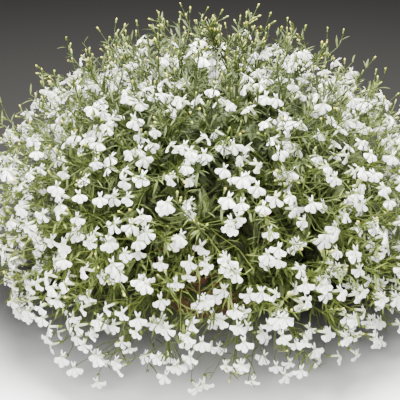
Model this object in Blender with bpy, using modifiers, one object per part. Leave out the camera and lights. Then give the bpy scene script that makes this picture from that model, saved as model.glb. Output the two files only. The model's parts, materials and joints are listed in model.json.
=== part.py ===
"""A trailing lobelia with white flowers, grown in a round plastic pot.

Metres, +Z up. The origin is the centre of the pot's flat foot, so the pot stands on z = 0.
Every leafy stem rises from its own hole in the compost, arches out to its share of the dome and
forks there into twigs. Each stem is one solid with its twigs, leaves, buds and flowers.
"""

import math
import random
from functools import partial

import bmesh
import bpy
import numpy as np
from mathutils import Matrix, Vector
from mathutils.bvhtree import BVHTree

SEED = 11
GAP = 0.0004  # clearance between pieces that touch
GOLDEN_ANGLE = math.pi * (3 - math.sqrt(5))

# The pot: a 14 cm nursery pot.
POT_HEIGHT = 0.108
RIM_RADIUS = 0.070
FOOT_RADIUS = 0.050
WALL = 0.0018
COLLAR_HEIGHT = 0.017
COLLAR_STEP = 0.0026
ROLL = 0.0012
POT_SIDES = 32
DRAIN_HOLES = 6
DRAIN_RADIUS = 0.005
DRAIN_CIRCLE = 0.034
DRAIN_SIDES = 8

# The compost and the holes that the stems stand in.
SOIL_TOP = POT_HEIGHT - 0.011
SOIL_CROWN = 0.004
SOIL_FLAT_RADIUS = 0.030
SOIL_EDGE_WIDTH = 0.004
SOIL_EDGE_DROP = 0.004
SOIL_FIT = WALL + 1.6 * GAP
ROOT_DEPTH = 0.010
HOLE_SIDES = 6
HOLE_REACH = 0.03  # length of a hole's cutter, which passes the compost's top
ROOT_CIRCLE = 0.046

# The dome of flowers, seen from the crown, where the stems leave the compost.
CROWN = Vector((0, 0, SOIL_TOP + SOIL_CROWN))
DOME_RADIUS = 0.222
DOME_TOP = 0.276
SKIRT_RADIUS = 0.206
SKIRT_FOOT = 0.021
STEMS = 32
TWIGS = 148
STEM_REACH = 0.60  # share of the way from the crown to the dome where a stem ends
DEPTH_SPREAD = 0.10  # share of the reach by which a flower may sit inside the dome

# A stem's curve: how it leaves the compost and how it arches over the rim, more so the lower it ends.
STEM_RISE = 0.045
STEM_RISE_TRAILING = 0.030
STEM_LEAN_TRAILING = 0.010
STEM_ARCH_AT = 0.66
STEM_ARCH_TRAILING = 0.050

# A twig's curve: where it forks from its stem, and how it comes to the back of its flower.
TWIG_TURN = 0.35
FORK_FIRST = 0.42
FORK_LAST = 0.97
FORK_PER_RADIAN = 1.25
FORK_SPREAD = 0.10
TWIG_PULL = 0.42
TWIG_PUSH = 0.22
TWIG_FACING_WEIGHT = 0.35

# Where a flower looks: how far it may swing and how far it tilts up, by its share of the dome.
ALOFT_SHARE = 0.30
SWING = 0.55
SWING_ALOFT = 1.6
TILT = 8
TILT_ALOFT = 42
TILT_SHARE = 0.75
TILT_SPREAD = (-10, 14)
ROLL_SPREAD = 0.35

# Thicknesses.
STEM_ROOT_RADIUS = 0.0017
STEM_END_RADIUS = 0.0011
TWIG_RADIUS = 0.0010
NECK_RADIUS = 0.0008
ROOTED_RADIUS = 0.0004  # of a twig, stalk or leaf where it is sunk in what bears it

# One flower, its five lobes seen from the front, in half widths: +X right, +Y up.
FLOWER_HALF_WIDTH = 0.0205  # larger than life, so that fewer flowers still cover the dome
TUBE_LENGTH = 0.013
THROAT_RADIUS = 0.0020
THROAT_DEPTH = 0.24
FRONT_DEPTH = 0.04
PETAL_FACES = 33
LOBES = (
    (1.00, -0.22, 0.02),
    (0.86, 0.26, -0.10),
    (0.13, 0.38, -0.05),
    (0.42, 1.12, -0.30),
    (0.00, 0.46, -0.08),
    (-0.42, 1.12, -0.30),
    (-0.13, 0.38, -0.05),
    (-0.86, 0.26, -0.10),
    (-1.00, -0.22, 0.02),
    (-0.66, -0.60, 0.10),
    (-0.34, -0.36, 0.10),
    (-0.36, -0.86, 0.16),
    (0.36, -0.86, 0.16),
    (0.34, -0.36, 0.10),
    (0.66, -0.60, 0.10),
)

# One leaf and one bud.
LEAF_LENGTH = 0.027
LEAF_HALF_WIDTH = 0.0029
LEAF_THICKNESS = 0.0012
BUD_LENGTH = 0.0085
BUD_RADIUS = 0.0017
BUD_RISE = 0.014
BUD_SWING = 0.014
LEAF_SECTIONS = ((0.0, 0.16), (0.50, 1.0), (0.62, 0.62))  # share of length, share of width
LEAF_DROOP = 0.30
LEAF_RISE = 0.25
LEAF_FORWARD = 0.6
STEM_LEAVES = (0.45, 0.62)
TWIG_LEAVES = (0.35, 0.75)
LEAF_EVERY = 4
BUD_EVERY = 3
BUD_BELLY = 0.30

# How growth is kept clear of the next stem's.
CLEARANCE = 0.0006
BEND = 0.012
TWIG_TRIES = 12
TRIES = 6
TIERS = (("crown", 0.30), ("side", 0.66), ("trailing", 1.0))


def clear_scene():
    """Removes what the scene holds at the start."""
    for thing in list(bpy.data.objects):
        bpy.data.objects.remove(thing)


def make_material(name, colour, roughness):
    """A plain Principled BSDF in the part's own colour."""
    material = bpy.data.materials.new(name)
    material.use_nodes = True
    shader = material.node_tree.nodes["Principled BSDF"]
    shader.inputs["Base Color"].default_value = (*colour, 1)
    shader.inputs["Roughness"].default_value = roughness
    shader.inputs["Metallic"].default_value = 0
    return material


def new_collection(name, hidden=False):
    """A collection in the scene; cutters and repeats go in hidden ones."""
    made = bpy.data.collections.new(name)
    bpy.context.scene.collection.children.link(made)
    made.hide_render = hidden
    return made


def add_object(name, mesh, collection):
    """Links a mesh as an object."""
    made = bpy.data.objects.new(name, mesh)
    collection.objects.link(made)
    return made


def apply_modifiers(thing):
    """Bakes the object's modifiers into its mesh."""
    graph = bpy.context.evaluated_depsgraph_get()
    baked = bpy.data.meshes.new_from_object(thing.evaluated_get(graph))
    thing.modifiers.clear()
    thing.data = baked


def combine(thing, others, operation, solver="EXACT"):
    """Cuts or joins a whole collection to an object in one Boolean, then removes the collection."""
    boolean = thing.modifiers.new("combine", "BOOLEAN")
    boolean.operation = operation
    boolean.operand_type = "COLLECTION"
    boolean.collection = others
    boolean.solver = solver
    apply_modifiers(thing)
    for used in list(others.objects):
        bpy.data.objects.remove(used)
    bpy.data.collections.remove(others)


def turned(name, profile, sides, collection):
    """A closed shape turned about Z from a profile of (radius, height) points, outer side downwards."""
    mesh = bpy.data.meshes.new(name)
    points = [(r, 0, z) for r, z in profile]
    edges = [(i, i + 1) for i in range(len(points) - 1)]
    mesh.from_pydata(points, edges, [])
    made = add_object(name, mesh, collection)
    screw = made.modifiers.new("turn", "SCREW")
    screw.steps = screw.render_steps = sides
    screw.use_merge_vertices = True
    screw.merge_threshold = 0.00005
    return made


def cylinder(name, radius, low, high, sides, collection):
    """A cylinder between two points, used as a cutter."""
    mesh = bpy.data.meshes.new(name)
    shape = bmesh.new()
    length = (high - low).length
    bmesh.ops.create_cone(
        shape, cap_ends=True, segments=sides, radius1=radius, radius2=radius, depth=length
    )
    shape.to_mesh(mesh)
    shape.free()
    made = add_object(name, mesh, collection)
    made.location = (low + high) / 2
    made.rotation_euler = (high - low).to_track_quat("Z", "Y").to_euler()
    return made


def smooth(thing, angle=40):
    """Shades round faces smooth and keeps edges sharper than the angle."""
    thing.data.shade_smooth()
    thing.data.set_sharp_from_angle(angle=math.radians(angle))


def wall_radius(height):
    """Outer radius of the pot's tapered wall, below its collar."""
    top = RIM_RADIUS - COLLAR_STEP
    return FOOT_RADIUS + (top - FOOT_RADIUS) * height / POT_HEIGHT


def make_pot(collection, material):
    """The nursery pot: tapered wall, stepped collar with a rolled lip, flat foot with drain holes."""
    collar_foot = POT_HEIGHT - COLLAR_HEIGHT
    profile = (
        (RIM_RADIUS - WALL, POT_HEIGHT),
        (RIM_RADIUS, POT_HEIGHT),
        (RIM_RADIUS + ROLL, POT_HEIGHT - ROLL),
        (RIM_RADIUS + ROLL, POT_HEIGHT - 2 * ROLL),
        (RIM_RADIUS, POT_HEIGHT - 3 * ROLL),
        (RIM_RADIUS - COLLAR_STEP / 4, collar_foot),
        (wall_radius(collar_foot), collar_foot),
        (wall_radius(WALL), WALL),
        (FOOT_RADIUS - WALL, 0),
        (0, 0),
        (0, WALL),
        (wall_radius(WALL) - WALL, WALL),
        (wall_radius(collar_foot + WALL) - WALL, collar_foot + WALL),
        (RIM_RADIUS - COLLAR_STEP / 4 - WALL, collar_foot + 2 * WALL),
        (RIM_RADIUS - WALL, POT_HEIGHT),
    )
    pot = turned("pot", profile, POT_SIDES, collection)
    apply_modifiers(pot)
    drains = new_collection("drain_holes", hidden=True)
    for k in range(DRAIN_HOLES):
        turn = math.tau * k / DRAIN_HOLES
        centre = Vector((DRAIN_CIRCLE * math.cos(turn), DRAIN_CIRCLE * math.sin(turn), 0))
        through = Vector((0, 0, 2 * WALL))
        cylinder(f"drain_{k}", DRAIN_RADIUS, centre - through, centre + through, DRAIN_SIDES, drains)
    combine(pot, drains, "DIFFERENCE")
    pot.data.materials.append(material)
    smooth(pot)
    return pot


def make_soil(collection, material, stems):
    """The compost that fills the pot, slightly crowned, with a plain hole for each stem."""
    floor = WALL + GAP
    edge = SOIL_TOP - SOIL_EDGE_DROP
    profile = (
        (0, SOIL_TOP + SOIL_CROWN),
        (SOIL_FLAT_RADIUS, SOIL_TOP + SOIL_CROWN),
        (wall_radius(edge) - SOIL_FIT - SOIL_EDGE_WIDTH, SOIL_TOP),
        (wall_radius(edge) - SOIL_FIT, edge),
        (wall_radius(floor) - SOIL_FIT, floor),
        (0, floor),
    )
    soil = turned("compost", profile, POT_SIDES, collection)
    apply_modifiers(soil)
    holes = new_collection("stem_holes", hidden=True)
    radius = (STEM_ROOT_RADIUS + GAP) / math.cos(math.pi / HOLE_SIDES)
    for k, stem in enumerate(stems):
        way = (stem.at(stem.knots[1]) - stem.root).normalized()
        foot, mouth = stem.root - way * GAP, stem.root + way * HOLE_REACH
        cylinder(f"hole_{k}", radius, foot, mouth, HOLE_SIDES, holes)
    combine(soil, holes, "DIFFERENCE")
    soil.data.materials.append(material)
    return soil


def dome_profile():
    """The dome's outline from its top to its skirt, as (radius, height, share of the area above)."""
    shoulder = np.linspace(0, math.pi / 2, 40)
    skirt = np.linspace(0, 1, 20)[1:]
    radius = np.concatenate(
        [DOME_RADIUS * np.sin(shoulder), DOME_RADIUS - (DOME_RADIUS - SKIRT_RADIUS) * skirt**1.5]
    )
    height = np.concatenate(
        [CROWN.z + (DOME_TOP - CROWN.z) * np.cos(shoulder), CROWN.z + (SKIRT_FOOT - CROWN.z) * skirt]
    )
    band = np.hypot(np.diff(radius), np.diff(height)) * (radius[1:] + radius[:-1]) / 2
    share = np.concatenate([[0], np.cumsum(band)]) / band.sum()
    return radius, height, share


def dome_point(share, azimuth):
    """The point of the dome below a share of its area, in the direction of an azimuth."""
    radius, height, shares = dome_profile()
    r = float(np.interp(share, shares, radius))
    z = float(np.interp(share, shares, height))
    return Vector((r * math.cos(azimuth), r * math.sin(azimuth), z))


def bezier(a, b, c, d, t):
    """A point of a cubic curve."""
    s = 1 - t
    return a * s**3 + b * (3 * s * s * t) + c * (3 * s * t * t) + d * t**3


class Route:
    """A curve, modelled as straight stretches between its knots."""

    knots = ()

    def at(self, t):
        """A point of the smooth curve."""
        return bezier(*self.controls, t)

    def middle(self, t):
        """The point on the straight stretches, where a leaf or a twig is rooted."""
        after = next((k for k, knot in enumerate(self.knots) if k and knot >= t), len(self.knots) - 1)
        low, high = self.knots[after - 1], self.knots[after]
        return self.at(low).lerp(self.at(high), (t - low) / (high - low))

    def heading(self, t):
        """The direction of the smooth curve."""
        return (self.at(t + 0.02) - self.at(t - 0.02)).normalized()


class Stem(Route):
    """One stem's route, from its root in the compost to where it ends inside the dome."""

    knots = (0.0, 0.16, 0.32, 0.52, 0.75, 1.0)

    def __init__(self, number):
        share = (number + 0.5) / STEMS
        azimuth = number * GOLDEN_ANGLE
        outward = Vector((math.cos(azimuth), math.sin(azimuth), 0))
        self.share = share
        self.target = dome_point(share, azimuth)
        self.root = outward * (ROOT_CIRCLE * math.sqrt(share))
        self.root.z = SOIL_TOP - ROOT_DEPTH
        self.end = CROWN.lerp(self.target, STEM_REACH)
        up = Vector((0, 0, 1))
        rise = up * (STEM_RISE + STEM_RISE_TRAILING * share)
        first = self.root + rise + outward * (STEM_LEAN_TRAILING * share)
        second = self.root.lerp(self.end, STEM_ARCH_AT) + up * (STEM_ARCH_TRAILING * share)
        self.controls = (self.root, first, second, self.end)
        self.twigs = []


class Twig(Route):
    """One twig's route, from its fork on a stem to a flower on the dome."""

    knots = (0.0, 0.45, 1.0)

    def __init__(self, number, draw):
        self.share = (number + 0.5) / TWIGS
        self.azimuth = number * GOLDEN_ANGLE + TWIG_TURN
        full = dome_point(self.share, self.azimuth)
        self.flower = CROWN.lerp(full, 1 - DEPTH_SPREAD * draw.random() ** 2)
        self.facing = self.face_outward(draw)
        self.roll = draw.uniform(-ROLL_SPREAD, ROLL_SPREAD)
        self.asked = 0

    def face_outward(self, draw):
        """A flower looks out from the plant, and more towards the sky the higher it sits."""
        aloft = max(0.0, 1 - self.share / ALOFT_SHARE)
        swing = draw.uniform(-1, 1) * (SWING + SWING_ALOFT * aloft)
        high = max(0.0, 1 - self.share / TILT_SHARE)
        tilt = math.radians(TILT + TILT_ALOFT * high + draw.uniform(*TILT_SPREAD))
        turn = self.azimuth + swing
        return Vector(
            (math.cos(turn) * math.cos(tilt), math.sin(turn) * math.cos(tilt), math.sin(tilt))
        )

    def join(self, stem, draw):
        """Chooses the fork, and the curve from there to the back of the flower."""
        ahead = (stem.target - CROWN).angle(self.flower - CROWN)
        back = FORK_PER_RADIAN * ahead + draw.uniform(0, FORK_SPREAD)
        self.fork_at = max(FORK_FIRST, FORK_LAST - back)
        fork = stem.middle(self.fork_at)
        tail = self.flower - self.facing * TUBE_LENGTH
        span = (tail - fork).length
        away = self.facing * TWIG_FACING_WEIGHT + (self.flower - CROWN).normalized()
        pull = fork + stem.heading(self.fork_at) * (TWIG_PULL * span)
        self.controls = (fork, pull, tail - away * (TWIG_PUSH * span), tail)

    def bend(self, draw):
        """Leaves the twig as it is at first, and bends it a little aside each time after that."""
        if self.asked:
            fork, pull, push, tail = self.controls
            pull = pull + Vector(draw.uniform(-BEND, BEND) for _ in range(3))
            push = push + Vector(draw.uniform(-BEND, BEND) for _ in range(3))
            self.controls = (fork, pull, push, tail)
            self.roll = draw.uniform(-ROLL_SPREAD, ROLL_SPREAD)
        self.asked += 1


def grow():
    """All stems with their twigs: each twig joins the stem whose share of the dome it lies in."""
    draw = random.Random(SEED)
    stems = [Stem(number) for number in range(STEMS)]
    for number in range(TWIGS):
        twig = Twig(number, draw)
        nearest = min(stems, key=lambda stem: (stem.target - twig.flower).length)
        twig.join(nearest, draw)
        nearest.twigs.append(twig)
    return stems


def frames(points, last_normal):
    """A twist-free pair of cross directions at each point of a route, found from its end backwards."""
    found = []
    normal = last_normal
    for k in reversed(range(len(points))):
        before = points[max(k - 1, 0)]
        after = points[min(k + 1, len(points) - 1)]
        along = (after - before).normalized()
        normal = (normal - along * normal.dot(along)).normalized()
        found.append((normal, along.cross(normal)))
    return found[::-1]


def ring(centre, across, up, radius, sides=3):
    """The corners of a small polygon round a point."""
    turns = [math.tau * k / sides for k in range(sides)]
    return [centre + (across * math.cos(t) + up * math.sin(t)) * radius for t in turns]


def bridge(low, high):
    """Triangles between two rings of corners, which may differ in number."""
    faces = []
    i = j = 0
    while i < len(low) or j < len(high):
        a, b = low[i % len(low)], high[j % len(high)]
        if j >= len(high) or (i < len(low) and (i + 1) / len(low) <= (j + 1) / len(high)):
            i += 1
            faces.append((a, low[i % len(low)], b))
        else:
            j += 1
            faces.append((a, high[j % len(high)], b))
    return faces


def loft(rings, tip):
    """A closed shape through rings of corners, which may be unlike, from a flat first ring to a last point."""
    points, numbers, faces = [], [], []
    for corners in rings:
        numbers.append(list(range(len(points), len(points) + len(corners))))
        points.extend(corners)
    first, last = numbers[0], numbers[-1]
    faces.extend((first[0], first[k + 1], first[k]) for k in range(1, len(first) - 1))
    for low, high in zip(numbers, numbers[1:]):
        faces.extend(bridge(low, high))
    points.append(tip)
    faces.extend((last[k], last[(k + 1) % len(last)], len(points) - 1) for k in range(len(last)))
    return points, faces


def flower_axes(twig):
    """The flower's right and up directions."""
    sky = Vector((0, 0, 1))
    up = (sky - twig.facing * sky.dot(twig.facing)).normalized()
    up = Matrix.Rotation(twig.roll, 3, twig.facing) @ up
    return up.cross(twig.facing), up


def flowering_twig(twig, draw):
    """A twig that swells into the flower's tube and opens in its five lobes."""
    twig.bend(draw)
    half = FLOWER_HALF_WIDTH
    right, up = flower_axes(twig)
    throat = twig.flower - twig.facing * (THROAT_DEPTH * half)
    centres = [twig.at(t) for t in twig.knots]
    cross = frames([*centres, throat], right)
    radii = (ROOTED_RADIUS, TWIG_RADIUS, NECK_RADIUS)
    rings = [ring(c, *axes, r) for c, axes, r in zip(centres, cross, radii)]
    rings.append(ring(throat, right, up, THROAT_RADIUS))
    rings.append(
        [twig.flower + (right * x + up * y + twig.facing * z) * half for x, y, z in LOBES]
    )
    return loft(rings, twig.flower - twig.facing * (FRONT_DEPTH * half))


def leaf(base, along, across, droop):
    """A narrow leaf with one tooth on each side, flat above, keeled below and arched along its length."""
    above = along.cross(across).normalized()
    rings = []
    for share, width in LEAF_SECTIONS:
        centre = base + along * (share * LEAF_LENGTH) - above * (droop * max(share, 0) ** 2 * LEAF_LENGTH)
        side = across * (width * LEAF_HALF_WIDTH)
        keel = centre - above * (LEAF_THICKNESS * (0.5 + 0.5 * width))
        rings.append([centre + side, centre - side, keel])
    tip = base + along * LEAF_LENGTH - above * (droop * LEAF_LENGTH)
    return loft(rings, tip)


def bud(base, mid, top):
    """A club-shaped bud on its thin stalk."""
    cross = frames([base, mid, top], (top - base).orthogonal().normalized())
    way = (top - mid).normalized()
    neck = top - way * BUD_LENGTH
    belly = top - way * (BUD_BELLY * BUD_LENGTH)
    rings = [
        ring(base, *cross[0], ROOTED_RADIUS),
        ring(neck, *cross[1], NECK_RADIUS),
        ring(belly, *cross[2], BUD_RADIUS),
    ]
    return loft(rings, top)


class Thicket:
    """What stands already, so that a new twig, leaf or bud can be kept clear of what other stems bear."""

    def __init__(self):
        self.trees = []

    def clear(self, shape, spared):
        """True if the shape, a little swollen, meets nothing but what is spared."""
        points, faces = shape
        middle = sum(points, Vector()) / len(points)
        swollen = [p + (p - middle).normalized() * CLEARANCE for p in points]
        tree = BVHTree.FromPolygons(swollen, faces)
        return not any(owner not in spared and tree.overlap(other) for owner, other in self.trees)

    def add(self, owner, shape):
        """Remembers a shape and the stem or twig that it belongs to."""
        self.trees.append((owner, BVHTree.FromPolygons(*shape)))


def mesh_object(name, shape, white_faces, materials, collection):
    """Makes one closed shape an object; its last faces are petals."""
    points, faces = shape
    mesh = bpy.data.meshes.new(name)
    mesh.from_pydata(points, [], faces)
    for material in materials:
        mesh.materials.append(material)
    for polygon in mesh.polygons[len(faces) - white_faces :]:
        polygon.material_index = 1
    return add_object(name, mesh, collection)


def stem_object(name, stem, materials, collection):
    """The main stem: a tapered four-sided tube along its route, with its caps welded."""
    curve = bpy.data.curves.new(name, "CURVE")
    curve.dimensions = "3D"
    curve.bevel_depth = 1
    curve.bevel_resolution = 0
    curve.use_fill_caps = True
    spline = curve.splines.new("POLY")
    spline.points.add(len(stem.knots) - 1)
    for t, point in zip(stem.knots, spline.points):
        point.co = (*stem.at(t), 1)
        point.radius = STEM_ROOT_RADIUS + (STEM_END_RADIUS - STEM_ROOT_RADIUS) * t
    tube = add_object(name, curve, collection)
    graph = bpy.context.evaluated_depsgraph_get()
    mesh = bpy.data.meshes.new_from_object(tube.evaluated_get(graph))
    bpy.data.objects.remove(tube)
    shape = bmesh.new()
    shape.from_mesh(mesh)
    bmesh.ops.remove_doubles(shape, verts=shape.verts, dist=0.00002)
    shape.to_mesh(mesh)
    shape.free()
    mesh.materials.clear()
    for material in materials:
        mesh.materials.append(material)
    return add_object(name, mesh, collection)


def shape_of(thing):
    """An object's corners and faces."""
    corners = [v.co.copy() for v in thing.data.vertices]
    return corners, [tuple(p.vertices) for p in thing.data.polygons]


def leaf_on(route, t, draw):
    """A leaf that spreads forwards from a stem's or a twig's route."""
    along = route.heading(t)
    around = Matrix.Rotation(draw.uniform(0, math.tau), 3, along) @ along.orthogonal().normalized()
    way = (along * LEAF_FORWARD + around + Vector((0, 0, LEAF_RISE))).normalized()
    return leaf(route.middle(t), way, along.cross(way).normalized(), draw.uniform(0, LEAF_DROOP))


def bud_on(twig, draw):
    """A bud that stands out past the flowers, on a stalk from its twig."""
    outward = (twig.flower - CROWN).normalized()
    side = Matrix.Rotation(draw.uniform(0, math.tau), 3, outward) @ outward.orthogonal().normalized()
    base = twig.middle(0.45)
    top = dome_point(twig.share, twig.azimuth) + outward * BUD_RISE + side * BUD_SWING
    top.z = max(top.z, SKIRT_FOOT)
    return bud(base, base.lerp(top, 0.5), top)


def settle(thicket, owner, spared, shapes, tries, make, white_faces=0):
    """Adds the first of several tries at a shape that stands clear of all that isn't spared."""
    for _ in range(tries):
        shape = make()
        if thicket.clear(shape, spared):
            thicket.add(owner, shape)
            shapes.append((shape, white_faces))
            return


def dress(stems, thicket):
    """The shapes that each stem bears: its flowering twigs first, then buds, then leaves."""
    draw = random.Random(SEED + 1)
    borne = {stem: [] for stem in stems}
    for stem in stems:
        own = {stem, *stem.twigs}
        for twig in stem.twigs:
            bent = partial(flowering_twig, twig, draw)
            settle(thicket, twig, own, borne[stem], TWIG_TRIES, bent, PETAL_FACES)
    for stem in stems:
        for twig in stem.twigs[::BUD_EVERY]:
            settle(thicket, twig, {twig}, borne[stem], TRIES, partial(bud_on, twig, draw))
    for stem in stems:
        for t in STEM_LEAVES:
            settle(thicket, stem, {stem}, borne[stem], TRIES, partial(leaf_on, stem, t, draw))
        for twig in stem.twigs[::LEAF_EVERY]:
            t = draw.uniform(*TWIG_LEAVES)
            settle(thicket, twig, {twig}, borne[stem], TRIES, partial(leaf_on, twig, t, draw))
    return borne


def tier(stem):
    """The name of the stem's place on the dome."""
    return next(name for name, limit in TIERS if stem.share <= limit)


def make_sprays(collection, materials):
    """One solid for each leafy stem, with its twigs, leaves, buds and flowers."""
    stems = grow()
    thicket = Thicket()
    sprays = []
    for number, stem in enumerate(stems):
        spray = stem_object(f"{tier(stem)}_spray_{number + 1:02d}", stem, materials, collection)
        thicket.add(stem, shape_of(spray))
        sprays.append(spray)
    borne = dress(stems, thicket)
    for spray, stem in zip(sprays, stems):
        parts = new_collection(f"{spray.name}_parts", hidden=True)
        for k, (shape, white_faces) in enumerate(borne[stem]):
            mesh_object(f"{spray.name}_part_{k}", shape, white_faces, materials, parts)
        combine(spray, parts, "UNION", "MANIFOLD")
    return stems


def main():
    clear_scene()
    plant = new_collection("trailing_lobelia")
    green = make_material("foliage", (0.16, 0.27, 0.05), 0.55)
    white = make_material("petals", (0.86, 0.86, 0.83), 0.60)
    stems = make_sprays(plant, (green, white))
    make_soil(plant, make_material("compost", (0.045, 0.028, 0.018), 0.95), stems)
    make_pot(plant, make_material("pot_plastic", (0.25, 0.075, 0.035), 0.50))


main()
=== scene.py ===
"""Dresses the potted trailing lobelia: true-size white flowers, toothed leaves, buds, pot and compost.

Metres, in the frame's own axes: +Z up, the pot's foot on z = 0. The growth below follows the same
rule and the same seed as the frame's leafy stems, so every stem and twig lies where its solid lies.
"""

import json
import math
import random

import bpy
import numpy as np
from mathutils import Matrix, Vector, noise

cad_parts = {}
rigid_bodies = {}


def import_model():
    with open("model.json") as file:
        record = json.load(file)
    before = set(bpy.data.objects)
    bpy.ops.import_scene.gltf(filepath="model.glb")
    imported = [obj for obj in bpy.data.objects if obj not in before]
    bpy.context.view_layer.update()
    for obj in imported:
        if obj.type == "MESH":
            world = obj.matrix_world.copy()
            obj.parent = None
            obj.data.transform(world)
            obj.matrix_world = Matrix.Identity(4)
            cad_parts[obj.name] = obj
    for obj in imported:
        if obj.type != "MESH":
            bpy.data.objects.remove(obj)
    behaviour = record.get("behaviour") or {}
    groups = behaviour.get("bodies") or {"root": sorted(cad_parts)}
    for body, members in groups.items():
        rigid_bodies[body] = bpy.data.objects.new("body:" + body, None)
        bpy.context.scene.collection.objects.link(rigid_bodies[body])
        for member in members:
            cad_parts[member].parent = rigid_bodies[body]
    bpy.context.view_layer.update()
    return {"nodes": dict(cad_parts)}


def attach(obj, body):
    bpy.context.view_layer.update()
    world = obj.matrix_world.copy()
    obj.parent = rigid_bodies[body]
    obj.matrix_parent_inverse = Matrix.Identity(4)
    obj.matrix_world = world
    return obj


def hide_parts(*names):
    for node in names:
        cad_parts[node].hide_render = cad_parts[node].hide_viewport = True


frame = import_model()

# The growth rule, as the frame's stems have it.
SEED = 11
GOLDEN_ANGLE = math.pi * (3 - math.sqrt(5))
UP = Vector((0, 0, 1))
POT_HEIGHT = 0.108
SOIL_TOP = POT_HEIGHT - 0.011
SOIL_CROWN = 0.004
ROOT_DEPTH = 0.010
ROOT_CIRCLE = 0.046
CROWN = Vector((0, 0, SOIL_TOP + SOIL_CROWN))
DOME_RADIUS = 0.222
DOME_TOP = 0.276
SKIRT_RADIUS = 0.206
SKIRT_FOOT = 0.021
SKIRT_CURVE = 1.5
SHOULDER_POINTS = 40
SKIRT_POINTS = 20
STEMS = 32
TWIGS = 148
STEM_REACH = 0.60
DEPTH_SPREAD = 0.10
STEM_RISE = 0.045
STEM_RISE_TRAILING = 0.030
STEM_LEAN_TRAILING = 0.010
STEM_ARCH_AT = 0.66
STEM_ARCH_TRAILING = 0.050
HEADING_STEP = 0.02
TWIG_TURN = 0.35
FORK_FIRST = 0.42
FORK_LAST = 0.97
FORK_PER_RADIAN = 1.25
FORK_SPREAD = 0.10
TWIG_PULL = 0.42
TWIG_PUSH = 0.22
TWIG_FACING_WEIGHT = 0.35
SOLID_TUBE_LENGTH = 0.013

# Spirals over the dome: how many points, their spacing, the share of the dome above the lowest, and the
# turn of the first. Spacing under 1 thins them out high on the plant, and over 1 it crowds them there.
BLOOM_SPIRAL = (1210, 0.79, 1, 1.1)
SPRIG_SPIRAL = (290, 1.4, 0.86, 2.3)
SHOOT_SPIRAL = (1900, 0.88, 0.95, 0.7)
SCATTER = 0.008
SHARE_PER_METRE = 2.2  # share of the dome's area that one metre down its side covers
AXIS_RADIUS = 0.02  # nearer the axis than this, the scatter turns no further

# Where flowers look: how far aside, how much further aloft, the share of the dome that is aloft, how
# much further up at the top, and the spread of that tilt.
SOLID_LOOK = (0.55, 1.6, 0.30, 42, (-10, 14))
BLOOM_LOOK = (0.65, 2.4, 0.45, 38, (-22, 20))
SPRIG_LOOK = (0.6, 2.4, 0.45, 38, (10, 50))
TILT = 8
TILT_SHARE = 0.75

# Tubes: the radius at the foot and at the tip, the sides, and the points along the curve.
STEM_TUBE = (0.0017, 0.0010, 8, 14)
TWIG_TUBE = (0.0009, 0.00055, 6, 9)
SPRIG_TUBE = (0.00050, 0.00040, 5, 9)
SHOOT_TUBE = (0.00050, 0.00040, 3, 5)
STALK_TUBE = (0.00042, 0.00036, 3, 5)

# Stalks, from a twig to what stands at their tip.
STALK_PULL = 0.40
STALK_PUSH = 0.30
STALK_FORKS = (0.40, 0.97)  # where on a twig a flower's stalk may leave it
STALK_FORK_SPREAD = (0.02, 0.16)
FORK_PER_METRE = 9.0  # how much further back a stalk forks for each metre that it ends aside

# Flowers at their true size.
BLOOM_KINDS = 20
BLOOM_INSIDE = 0.24  # share of the reach by which a flower may sit inside the dome
ALOFT_SHARE = 0.30
ALOFT_INSIDE = 0.20  # within that share from the top the flowers sit deeper, among the sprigs
BILLOW = 0.016
BILLOW_WAVES = ((3, 0, 0.8), (5, -7, 0), (11, 13, 0))  # waves round, waves down, and their shift
BILLOW_SINK = 0.6
BLOOM_ROLL = 0.42
BLOOM_SCALE = (0.84, 1.06)
LOW_BLOOM_PAINTED_SHADE = 0.7  # painted shade: how much darker the lowest flowers are painted
LOBE_LENGTH = 0.0080
LOBE_HALF_WIDTH = 0.0031
LOBE_START = 0.0008  # from the middle of the flower to where a lobe or an ear starts
LOBE_WAIST = 0.13  # a lobe's width at the throat, over its nominal width
LOBE_WIDENING = 0.93
LOBE_ROUND_FROM = 0.72
LOBE_ROUNDING = 0.17
MIDDLE_LOBE = 1.06  # length of the middle lobe over that of a side lobe
SIDE_LOBE_ANGLE = 48
EAR_LENGTH = 0.0046
EAR_HALF_WIDTH = 0.00085
EAR_ANGLE = 20
PETAL_CLARITY = 0.35  # share of the light that passes through
THROAT_RADIUS = 0.0013
TUBE_LENGTH = 0.0095
TUBE_SIDES = 5
CALYX_DEPTH = 0.002  # from the end of a flower's tube to the tip of its stalk
CALYX_TINTS = (0.5, 1.0)
SEPALS = 5
SEPAL_LENGTH = 0.0046
SEPAL_START = 0.0012  # from the tube's axis to the foot of a sepal
SEPAL_HALF_WIDTH = 0.00055
SEPAL_TAPER = 0.9
SEPAL_JITTER = 0.1
SEPAL_FLARE = (0.15, 0.45)

# Leaves.
LEAF_KINDS = 10
LEAF_LENGTHS = (0.009, 0.016)
LEAF_SLIMNESS = 0.078  # half width as a share of the length
LOW_LEAF_SLIMNESS = 0.115
LEAF_TOOTH = 0.22
LEAF_TEETH_FROM = 0.3
LEAF_FOLD = 0.35
LEAF_FORWARD = (0.4, 1.0)
LEAF_LIFT = 0.25
LEAF_ROLL = 0.3
LEAF_CLARITY = 0.12
FRESH_FROM = 0.50  # share of the reach from which the green turns from the painted shade green to the fresh green
FRESH_RISE = 0.45
HIGH_FROM = 0.13  # height from which it turns back towards the painted shade green
HIGH_RISE = 0.12
HIGH_SHADE = 0.65  # how far it turns back at the top, where it is painted darker
STEM_DEPTH = 0.35  # 0 for the painted shade green, 1 for the fresh green
STEM_LEAVES = 14
STEM_LEAF_PLACES = (0.22, 1.0)
TWIG_DEPTH = 0.8
TWIG_LEAVES = 11
TWIG_LEAF_PLACES = (0.05, 0.98)
BRACT_LENGTHS = (0.005, 0.010)
BRACT_AT = 0.06  # share of a flower's stalk below its small leaf

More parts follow.
